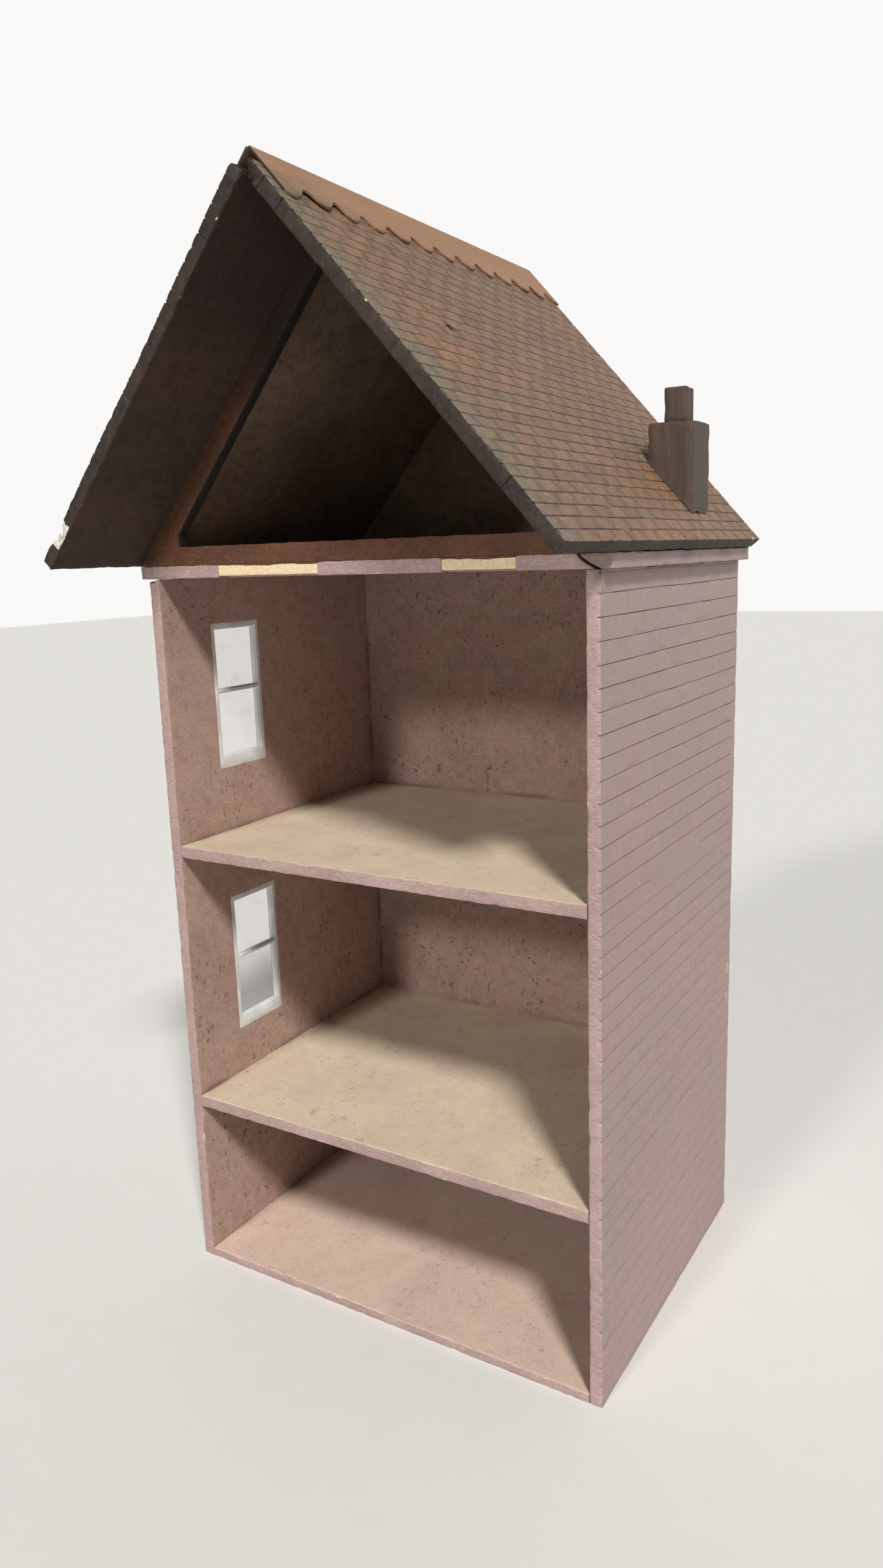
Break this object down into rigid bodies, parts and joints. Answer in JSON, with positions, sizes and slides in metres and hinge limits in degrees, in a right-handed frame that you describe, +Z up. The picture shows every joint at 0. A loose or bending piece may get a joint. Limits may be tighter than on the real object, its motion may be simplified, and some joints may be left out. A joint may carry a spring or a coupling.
{
  "type": "wooden dollhouse",
  "caption": "Open-fronted wooden dollhouse, tall and narrow, with stacked rooms, sash windows and a lift-off tiled roof with a chimney.",
  "frame": {"origin": "on the surface the house stands on, under the middle of the whole outline, roof overhang included", "axes": "+Z up, the open front faces -Y, +X to the right of someone facing the open front"},
  "size_m": [0.256, 0.232, 0.5203],
  "materials": {
    "siding_paint": "matte paint over fibreboard, scored and lightly worn",
    "room_paint": "matte chalky paint over fibreboard",
    "window_paint": "satin paint",
    "clear_sheet": "clear and glossy",
    "gable_paint": "matte paint over fibreboard",
    "tile_paint": "matte mottled paint over scored fibreboard",
    "ridge_card": "matte paint over card",
    "chimney_wood": "matte stain over softwood"
  },
  "bodies": {
    "carcass": {"base_floor": "room_paint", "lower_shelf": "room_paint", "upper_shelf": "room_paint", "left_wall": "siding_paint", "right_wall": "siding_paint", "back_wall": "siding_paint", "middle_window_frame": "window_paint", "middle_window_glazing": "clear_sheet", "upper_window_frame": "window_paint", "upper_window_glazing": "clear_sheet"},
    "roof": {"roof_base": "siding_paint", "front_gable": "gable_paint", "back_gable": "gable_paint", "left_roof_panel": "tile_paint", "right_roof_panel": "tile_paint", "left_ridge_strip": "ridge_card", "right_ridge_strip": "ridge_card", "chimney_stack": "chimney_wood", "chimney_pot": "chimney_wood"}
  },
  "joints": [
    {"name": "roof_lift", "type": "slide", "parent": "carcass", "child": "roof", "axis": [0, 0, 1], "range_m": [0, 0.08]}
  ]
}
